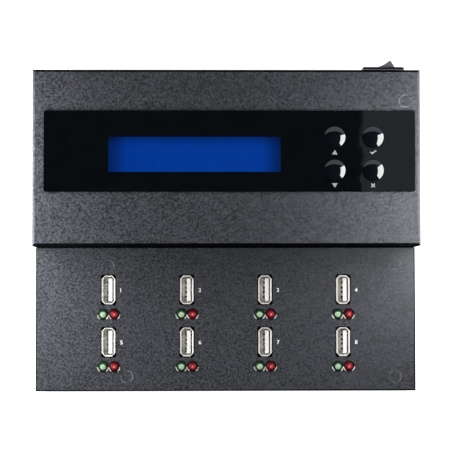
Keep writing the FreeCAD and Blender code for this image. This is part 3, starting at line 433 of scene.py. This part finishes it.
def rim_gloss():
    """Dark rim round a lamp, with a crescent of painted light, glowing too, at the front of its outer
    and inner side, where light focused by the lens falls.
    """
    made = finish("rim_gloss", (0.012, 0.012, 0.012), (0.022, 0.021, 0.021), 0.6 * MM, (0.35, 0.45),
                  0.003 * MM)
    tree = made.node_tree
    shader = tree.nodes["Principled BSDF"]
    green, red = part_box("green_leds")[0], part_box("red_leds")[0]
    middle = ((green.x + red.x) / 2 + led_radius, green.y + led_radius)
    x, y = wrapped(tree, middle, (port_pitch_x, port_pitch_y))
    x = value(tree, "SUBTRACT", value(tree, "ABSOLUTE", x), (red.x - green.x) / 2)
    # Painted light: crescents where light focused through the lamp's lens falls on the rim, in colour
    # and as glow
    aside = spread(tree, value(tree, "ABSOLUTE", x), 1.2 * MM, 2.1 * MM, smooth=True)
    forward = spread(tree, y, -0.6 * MM, -0.1 * MM, 1.0, 0.0, smooth=True)
    cloud = spread(tree, noise(tree, 1.2 * MM, 2.0), 0.35, 0.6, 0.5, 1.0)
    crescent_light = value(tree, "MULTIPLY", value(tree, "MULTIPLY", aside, forward), cloud)
    dark = shader.inputs["Base Color"].links[0].from_socket
    tree.links.new(blended(tree, crescent_light, dark, (0.75, 0.72, 0.68)), shader.inputs["Base Color"])
    shader.inputs["Emission Color"].default_value = (0.95, 0.90, 0.86, 1)
    tree.links.new(value(tree, "MULTIPLY", crescent_light, 0.42), shader.inputs["Emission Strength"])
    return made


# Boards and cables

track_sizes = (("Scale", 1 / MM), ("Mortar Size", 0.06), ("Brick Width", 5.5), ("Row Height", 0.9))
ridge_scale = 1 / (6.3 * MM)


def board_green():
    """Green solder mask over copper tracks."""
    made, tree, shader = start("board_green", Coat_Weight=0.4)
    brick = node(tree, "ShaderNodeTexBrick", offset=0.37)
    for socket, number in track_sizes:
        brick.inputs[socket].default_value = number
    tree.links.new(place(tree), brick.inputs["Vector"])
    mask, track = (0.006, 0.045, 0.016), (0.015, 0.09, 0.035)
    tone = colours(tree, brick.outputs["Fac"], (0.0, mask), (1.0, track))
    cloud = spread(tree, noise(tree, 8 * MM, 3.0), 0.3, 0.7, 0.0, 0.35)
    tree.links.new(blended(tree, cloud, tone, (0.007, 0.055, 0.02)), shader.inputs["Base Color"])
    tree.links.new(spread(tree, noise(tree, 3 * MM), 0.3, 0.7, 0.25, 0.4), shader.inputs["Roughness"])
    bumped(tree, shader, brick.outputs["Fac"], 0.03 * MM)
    return made


def ribbon_grey():
    """Flat cable with a ridge over each conductor, with shade painted darker in the grooves between
    them.
    """
    made, tree, shader = start("ribbon_grey", Roughness=0.45)
    wave = node(tree, "ShaderNodeTexWave", bands_direction="X")
    wave.inputs["Scale"].default_value = ridge_scale
    tree.links.new(place(tree), wave.inputs["Vector"])
    # Painted shade: the colour follows the ridges, darker in the grooves
    tone = colours(tree, wave.outputs["Fac"], (0.1, (0.20, 0.21, 0.23)), (0.8, (0.40, 0.41, 0.43)))
    tree.links.new(tone, shader.inputs["Base Color"])
    bumped(tree, shader, wave.outputs["Fac"], 0.15 * MM)
    return made


# Finish of each material slot

finishes = {
    "powder_coat": powder_coat("powder_coat", (*stud_places, hood_stud_place)),
    "pan_coat": powder_coat("pan_coat", stud_places),
    "fascia_black": fascia_black(),
    "clear_window": clear_window(),
    "button_black": button_black(),
    "lcd_frame_black": finish("lcd_frame_black", (0.006, 0.006, 0.007), (0.014, 0.014, 0.016),
                              0.6 * MM, (0.35, 0.5), 0.01 * MM, Metallic=0.4),
    "lcd_blue": lcd_blue(),
    "light_guide": finish("light_guide", (0.70, 0.76, 0.84), (0.80, 0.85, 0.9), 2 * MM,
                          (0.2, 0.3), 0.01 * MM),
    "board_green": board_green(),
    "spring_steel": finish("spring_steel", (0.5, 0.5, 0.5), (0.66, 0.66, 0.65), 0.4 * MM,
                           (0.2, 0.3), 0.004 * MM, Metallic=1.0),
    "nickel": nickel(),
    "white_plastic": finish("white_plastic", (0.80, 0.78, 0.73), (0.86, 0.845, 0.80), 0.7 * MM,
                            (0.3, 0.42), 0.01 * MM),
    # Gold plate painted dark: its colour carries painted shade of the deep port slots round the
    # contacts
    "gold_plate": finish("gold_plate", (0.13, 0.085, 0.035), (0.24, 0.165, 0.075), 0.3 * MM,
                         (0.2, 0.35), 0.004 * MM, Metallic=1.0),
    "green_lens": led("green_leds", rim=(0.009, 0.024, 0.011), body=(0.016, 0.047, 0.022),
                      core=(0.26, 0.36, 0.23), spark=(0.22, 0.34, 0.20),
                      bright=(0.15, 0.20, 0.14), flat=0.40),
    # The red lamps' centre spot is a painted highlight
    "red_lens": led("red_leds", rim=(0.033, 0.003, 0.005), body=(0.085, 0.005, 0.008),
                    core=(0.42, 0.035, 0.04), spark=(0.80, 0.30, 0.26),
                    bright=(0.15, 0.012, 0.014), flat=0.16),
    "tinned_wire": finish("tinned_wire", (0.55, 0.55, 0.56), (0.72, 0.72, 0.73), 0.4 * MM,
                          (0.25, 0.4), 0.01 * MM, Metallic=1.0),
    "black_plastic": finish("black_plastic", (0.009, 0.009, 0.0105), (0.017, 0.017, 0.019),
                            0.35 * MM, (0.4, 0.55), 0.02 * MM),
    "chip_black": finish("chip_black", (0.014, 0.014, 0.016), (0.028, 0.028, 0.03), 0.25 * MM,
                         (0.5, 0.65), 0.02 * MM),
    "can_aluminium": finish("can_aluminium", (0.5, 0.5, 0.52), (0.68, 0.68, 0.7), 0.5 * MM,
                            (0.3, 0.4), 0.005 * MM, (1, 1, 0.2), Metallic=1.0),
    "ribbon_grey": ribbon_grey(),
    "wire_red": finish("wire_red", (0.30, 0.012, 0.012), (0.45, 0.025, 0.022), 1.2 * MM,
                       (0.35, 0.45), 0.01 * MM),
    "switch_grey": finish("switch_grey", (0.165, 0.16, 0.175), (0.215, 0.21, 0.225), 0.3 * MM,
                          (0.35, 0.5), 0.02 * MM),
    "switch_shell": switch_shell(),
    "plunger_steel": finish("plunger_steel", (0.45, 0.45, 0.46), (0.62, 0.62, 0.63), 0.4 * MM,
                            (0.25, 0.35), 0.004 * MM, Metallic=1.0),
    "copper_alloy": finish("copper_alloy", (0.56, 0.36, 0.17), (0.76, 0.55, 0.32), 0.5 * MM,
                           (0.25, 0.4), 0.006 * MM, Metallic=1.0),
    "zinc_screw": finish("zinc_screw", (0.022, 0.022, 0.024), (0.045, 0.045, 0.048), 0.4 * MM,
                         (0.25, 0.4), 0.01 * MM, Metallic=0.6),
    "brass": finish("brass", (0.60, 0.43, 0.18), (0.78, 0.60, 0.30), 0.6 * MM, (0.25, 0.35),
                    0.006 * MM, Metallic=1.0),
    "board_screw_steel": finish("board_screw_steel", (0.5, 0.5, 0.51), (0.66, 0.66, 0.67), 0.4 * MM,
                                (0.25, 0.4), 0.008 * MM, Metallic=1.0),
    "foot_rubber": finish("foot_rubber", (0.014, 0.014, 0.014), (0.026, 0.026, 0.026), 0.5 * MM,
                          (0.7, 0.85), 0.04 * MM),
}


def dress_nodes():
    """Each CAD node takes the finish of its material slot, and the switch body its own."""
    for name, thing in nodes.items():
        for slot in thing.material_slots:
            key = slot.material.name.split(".")[0]
            slot.material = finishes["switch_shell" if name == "switch_body" else key]


# Pieces that only the scene has


def rim_outline(width):
    """Radius and height of the corners of a lamp rim's cross-section, by its width."""
    top = deck_top + rim_height
    outer = rim_inner + width
    slope = width * rim_slope
    return ((rim_inner, top - slope), (outer, top), (outer + rim_edge, top - rim_edge_drop),
            (outer + rim_foot, deck_top - rim_sunk), (rim_inner, deck_top - rim_height - slope))


def lamp_rim(shape, x, y):
    """Adds a sloping rim round x, y to the shape, wider towards the front."""
    rings = []
    for k in range(rim_turns):
        turn = 2 * math.pi * k / rim_turns
        outline = rim_outline(rim_width - rim_sway * math.sin(turn))
        rings.append([shape.verts.new((x + r * math.cos(turn), y + r * math.sin(turn), z))
                      for r, z in outline])
    for k in range(rim_turns):
        here, there = rings[k], rings[(k + 1) % rim_turns]
        for i in range(len(here)):
            j = (i + 1) % len(here)
            shape.faces.new((here[i], here[j], there[j], there[i]))


def lamp_rims(finish_used):
    """The rims of all lamps as one piece."""
    shape = bmesh.new()
    for name in ("green_leds", "red_leds"):
        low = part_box(name)[0]
        for column in range(port_columns):
            for row in range(port_rows):
                x = low.x + led_radius + column * port_pitch_x
                y = low.y + led_radius + row * port_pitch_y
                lamp_rim(shape, x, y)
    bmesh.ops.recalc_face_normals(shape, faces=shape.faces[:])
    mesh = bpy.data.meshes.new("lamp_rims")
    shape.to_mesh(mesh)
    shape.free()
    return piece("lamp_rims", mesh, finish_used)


def ink(name, dark, light):
    """Screen-printing ink between two greys."""
    return finish(name, (dark, dark, dark * 1.02), (light, light, light * 1.01), 0.25 * MM,
                  (0.45, 0.6), 0.004 * MM)


def printed(name, outline, middle, ink_used):
    """A thin printed mark with the given outline around middle."""
    shape = bmesh.new()
    shape.faces.new([shape.verts.new(middle + Vector((x, y, 0))) for x, y in outline])
    raised = bmesh.ops.extrude_face_region(shape, geom=shape.faces[:])
    tops = [v for v in raised["geom"] if isinstance(v, bmesh.types.BMVert)]
    bmesh.ops.translate(shape, verts=tops, vec=(0, 0, print_thick))
    bmesh.ops.recalc_face_normals(shape, faces=shape.faces[:])
    mesh = bpy.data.meshes.new(name)
    shape.to_mesh(mesh)
    shape.free()
    return piece(name, mesh, ink_used)


def piece(name, mesh, finish_used):
    """A new object of the mesh that rides on the casing."""
    made = bpy.data.objects.new(name, mesh)
    bpy.context.scene.collection.objects.link(made)
    made.data.materials.clear()
    made.data.materials.append(finish_used)
    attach(made, "casing")
    return made


def number_mark(number, left, ink_used):
    """A plain printed number whose left edge is at left, at its middle height. The text comes
    in units of its own and is brought to size as a mesh."""
    text = bpy.data.curves.new(f"number_{number}", "FONT")
    text.body = str(number)
    text.extrude = number_depth
    text.offset = number_weight
    text.align_y = "BOTTOM_BASELINE"
    holder = bpy.data.objects.new(text.name, text)
    mesh = bpy.data.meshes.new_from_object(holder)
    mesh.name = f"port_number_{number}"
    bpy.data.objects.remove(holder)
    points = [v.co for v in mesh.vertices]
    low = Vector([min(p[i] for p in points) for i in range(3)])
    high = Vector([max(p[i] for p in points) for i in range(3)])
    size = number_height / (high.y - low.y)
    for vertex in mesh.vertices:
        x = (vertex.co.x - low.x) * size
        y = (vertex.co.y - (low.y + high.y) / 2) * size
        z = (vertex.co.z - low.z) / (high.z - low.z) * print_thick
        vertex.co = left + Vector((x, y, z))
    return piece(mesh.name, mesh, ink_used)


def port_numbers(ink_used):
    """Numbers 1 to 8 at the right of the ports."""
    for number in range(1, port_columns * port_rows + 1):
        low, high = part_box(f"usb_shell_{number}")
        x = (low.x + high.x) / 2 + number_offset
        y = (low.y + high.y) / 2 - number_drop
        number_mark(number, Vector((x, y, deck_top)), ink_used)


def button_symbols(ink_used):
    """Up, down, tick and cross under the four buttons."""
    s = symbol_half
    w = stroke_half * math.sqrt(2)
    up = [(-arrow_half, -s), (arrow_half, -s), (0, s)]
    down = [(-arrow_half, s), (0, -s), (arrow_half, s)]
    tick = [(-tick_left, 0), (-tick_left + w, w), (-tick_foot, -s + 2 * w),
            (tick_right, s), (tick_right + w, s - w), (-tick_foot, -s)]
    cross = []
    arm = [(0, w), (s - w, s), (s, s - w)]
    for _ in range(4):
        cross += arm
        arm = [(y, -x) for x, y in arm]
    fascia_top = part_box("fascia_panel")[1].z
    for key, outline in (("up", up), ("down", down), ("ok", tick), ("esc", cross)):
        low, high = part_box(f"button_{key}")
        middle = Vector(((low.x + high.x) / 2, (low.y + high.y) / 2 - symbol_drop, fascia_top))
        printed(f"symbol_{key}", outline, middle, ink_used)


# Studio: white floor, dark dome, cards, softboxes and camera

floor_half = 3.0
floor_seen = 0.9
world_lit = 0.55
world_seen = 0.9
dome_radius = 1.8
dome_angles = (12.0, 24.0, 36.0, 48.0, 60.0, 74.0)
dome_turns = 48
dome_level = 0.012
skirt_corners = ((-0.131, -0.12), (0.128, -0.12), (0.128, 0.13), (-0.131, 0.13))
skirt_height = 0.045
skirt_level = 0.08
card_half = 1.1
strip_edge = ((0.203, 0.09), (0.201, 0.112), (0.1985, 0.120), (0.202, 0.130), (0.2005, 0.138),
              (0.2045, 0.146), (0.2025, 0.155), (0.199, 0.162), (0.200, 0.178), (0.203, 0.187),
              (0.203, 0.22))
strip_right = 0.285
strip_height = 1.55
strip_level = 0.42

# Name, y, height and brightness of the two big cards
big_cards = (("card_front", -0.34, 0.45, 0.004), ("card_back", 0.52, 0.56, 0.75))

# Place, aim, width and height of each light
right_light = ((0.137, 0.012, 0.103), (0.0, 0.012, 0.103), 0.120, 0.090)
left_light = ((-0.142, -0.002, 0.079), (0.0, -0.002, 0.079), 0.156, 0.046)
high_front_light = ((0.0, -0.42, 1.05), (0.0, -0.03, 0.03), 0.36, 0.15)
high_back_light = ((0.0, 0.33, 1.05), (0.0, -0.03, 0.03), 0.36, 0.15)
cool_white = (0.98, 0.985, 1.0)


def flat_stage(name, corners, finish_used, seen=False):
    """A flat stage piece with the given corners, which the camera sees or doesn't."""
    mesh = bpy.data.meshes.new(name)
    mesh.from_pydata(corners, [], [tuple(range(len(corners)))])
    made = bpy.data.objects.new(name, mesh)
    made.data.materials.append(finish_used)
    made.visible_camera = seen
    bpy.context.scene.collection.objects.link(made)


def seen_or_reflected(tree):
    """1 for camera, glossy and transmission rays, 0 for the rays that light the object."""
    path = node(tree, "ShaderNodeLightPath")
    seen = value(tree, "MAXIMUM", path.outputs["Is Camera Ray"], path.outputs["Is Glossy Ray"])
    return value(tree, "MAXIMUM", seen, path.outputs["Is Transmission Ray"])


def floor():
    """White floor that keeps the object's shadow."""
    made, tree, shader = start("floor_white", Roughness=1.0, Specular_IOR_Level=0.0)
    tone = colours(tree, noise(tree, 0.3, 2.0), (0.3, (0.78, 0.78, 0.78)), (0.7, (0.8, 0.8, 0.8)))
    tree.links.new(tone, shader.inputs["Base Color"])
    shader.inputs["Emission Color"].default_value = (1, 1, 1, 1)
    glow = value(tree, "MULTIPLY", seen_or_reflected(tree), floor_seen)
    tree.links.new(glow, shader.inputs["Emission Strength"])
    h = floor_half
    flat_stage("floor", [(-h, -h, 0), (h, -h, 0), (h, h, 0), (-h, h, 0)], made, seen=True)


def emitter(name, colour, strength):
    """A plain emissive material."""
    made, tree, shader = start(name, Roughness=1.0, Specular_IOR_Level=0.0)
    shader.inputs["Base Color"].default_value = (0, 0, 0, 1)
    shader.inputs["Emission Color"].default_value = (*colour, 1)
    shader.inputs["Emission Strength"].default_value = strength
    return made


def flags():
    """Dark dome over the set, which only reflections and light meet."""
    shape = bmesh.new()
    rows = []
    for angle in dome_angles:
        flat = dome_radius * math.sin(math.radians(angle))
        up = dome_radius * math.cos(math.radians(angle))
        row = []
        for k in range(dome_turns):
            turn = 2 * math.pi * k / dome_turns
            row.append(shape.verts.new((flat * math.cos(turn), flat * math.sin(turn), up)))
        rows.append(row)
    shape.faces.new(rows[0])
    for inner, outer in zip(rows, rows[1:]):
        for k in range(dome_turns):
            n = (k + 1) % dome_turns
            shape.faces.new((inner[k], inner[n], outer[n], outer[k]))
    mesh = bpy.data.meshes.new("flags")
    shape.to_mesh(mesh)
    shape.free()
    dome = bpy.data.objects.new("flags", mesh)
    bpy.context.scene.collection.objects.link(dome)
    dome.data.materials.append(emitter("flag_black", (0.9, 0.95, 1.0), dome_level))
    dome.visible_camera = False


def chosen(name, members, state):
    """The named nodes as a collection that a lamp lights alone, or leaves out."""
    made = bpy.data.collections.new(name)
    for member in members:
        made.objects.link(nodes[member])
    for member in made.collection_objects:
        member.light_linking.link_state = state
    return made


def softbox(name, where, aim, width, height, strength, lights, colour=(1, 1, 1), mirrored=True):
    """A rectangular softbox at where, facing aim. It lights the nodes that the collection
    lights lets it, and is mirrored in glossy surfaces or not."""
    lamp = bpy.data.lights.new(name, "AREA")
    lamp.shape = "RECTANGLE"
    lamp.size = width
    lamp.size_y = height
    lamp.energy = strength * math.pi * width * height
    lamp.color = colour
    made = bpy.data.objects.new(name, lamp)
    made.location = where
    made.rotation_euler = (Vector(aim) - Vector(where)).to_track_quat("-Z", "Y").to_euler()
    made.visible_camera = False
    made.visible_glossy = mirrored
    made.visible_transmission = mirrored
    made.light_linking.receiver_collection = lights
    bpy.context.scene.collection.objects.link(made)


def cards():
    """Cards that only reflections and light meet: a low grey skirt round the object, a dark
    card in front of it and a grey one behind it."""
    ends = skirt_corners[1:] + skirt_corners[:1]
    for index, (here, there) in enumerate(zip(skirt_corners, ends)):
        corners = [(*here, 0.0), (*there, 0.0), (*there, skirt_height), (*here, skirt_height)]
        flat_stage(f"skirt_{index}", corners, emitter(f"skirt_{index}", (0.9, 0.93, 1.0), skirt_level))
    for name, y, height, level in big_cards:
        outline = ((-card_half, 0.0), (card_half, 0.0), (card_half, height), (-card_half, height))
        corners = [(x, y, z) for x, z in outline]
        flat_stage(name, corners, emitter(name, (0.85, 0.88, 1.0), level))


def overhead_strip():
    """Grey strip with an uneven left edge, which the right end of the fascia mirrors."""
    front, back = strip_edge[0][1], strip_edge[-1][1]
    outline = (*strip_edge, (strip_right, back), (strip_right, front))
    corners = [(x, y, strip_height) for x, y in outline]
    flat_stage("overhead_strip", corners, emitter("strip_grey", (0.95, 0.97, 1.0), strip_level))


def studio():
    """Floor, dome, cards, world and softboxes."""
    floor()
    flags()
    cards()
    overhead_strip()
    world = bpy.data.worlds.new("studio")
    world.use_nodes = True
    tree = world.node_tree
    background = tree.nodes["Background"]
    background.inputs["Color"].default_value = (0.93, 0.95, 1.0, 1)
    strength = spread(tree, seen_or_reflected(tree), 0.0, 1.0, world_lit, world_seen)
    tree.links.new(strength, background.inputs["Strength"])
    bpy.context.scene.world = world
    folded = ("base_pan", "upper_cover", "port_deck")
    flat_parts = (*folded, "fascia_panel", "display_window")
    sheets = chosen("sheets_alone", folded, "INCLUDE")
    others = chosen("sheets_left_out", folded, "EXCLUDE")
    small_parts = chosen("flat_parts_left_out", flat_parts, "EXCLUDE")
    softbox("sheet_right", *right_light, 25.0, sheets, cool_white, mirrored=False)
    softbox("sheet_left", *left_light, 38.0, sheets, cool_white, mirrored=False)
    softbox("sheet_high", *high_front_light, 4.0, sheets, mirrored=False)
    softbox("softbox_right", *right_light, 10.4, small_parts, cool_white)
    softbox("softbox_left", *left_light, 17.8, small_parts, cool_white)
    softbox("softbox_high_front", *high_front_light, 13.5, others, mirrored=False)
    softbox("softbox_high_back", *high_back_light, 13.5, others, mirrored=False)


def camera():
    """The photograph's camera."""
    lens = bpy.data.cameras.new("camera")
    lens.lens = camera_lens
    lens.sensor_width = camera_sensor
    turn = Matrix.Rotation(math.radians(camera_roll), 3, "Z")
    turn = turn @ Matrix.Rotation(math.radians(camera_pan), 3, "Y")
    turn = turn @ Matrix.Rotation(math.radians(camera_tilt), 3, "X")
    made = bpy.data.objects.new("camera", lens)
    made.matrix_world = Matrix.Translation(camera_place) @ turn.transposed().to_4x4()
    bpy.context.scene.collection.objects.link(made)
    bpy.context.scene.camera = made


dress_nodes()
port_numbers(ink("ink_white", 0.80, 0.90))
lamp_rims(rim_gloss())
button_symbols(ink("ink_grey", 0.22, 0.30))
studio()
camera()
bpy.context.scene.view_settings.view_transform = "Standard"
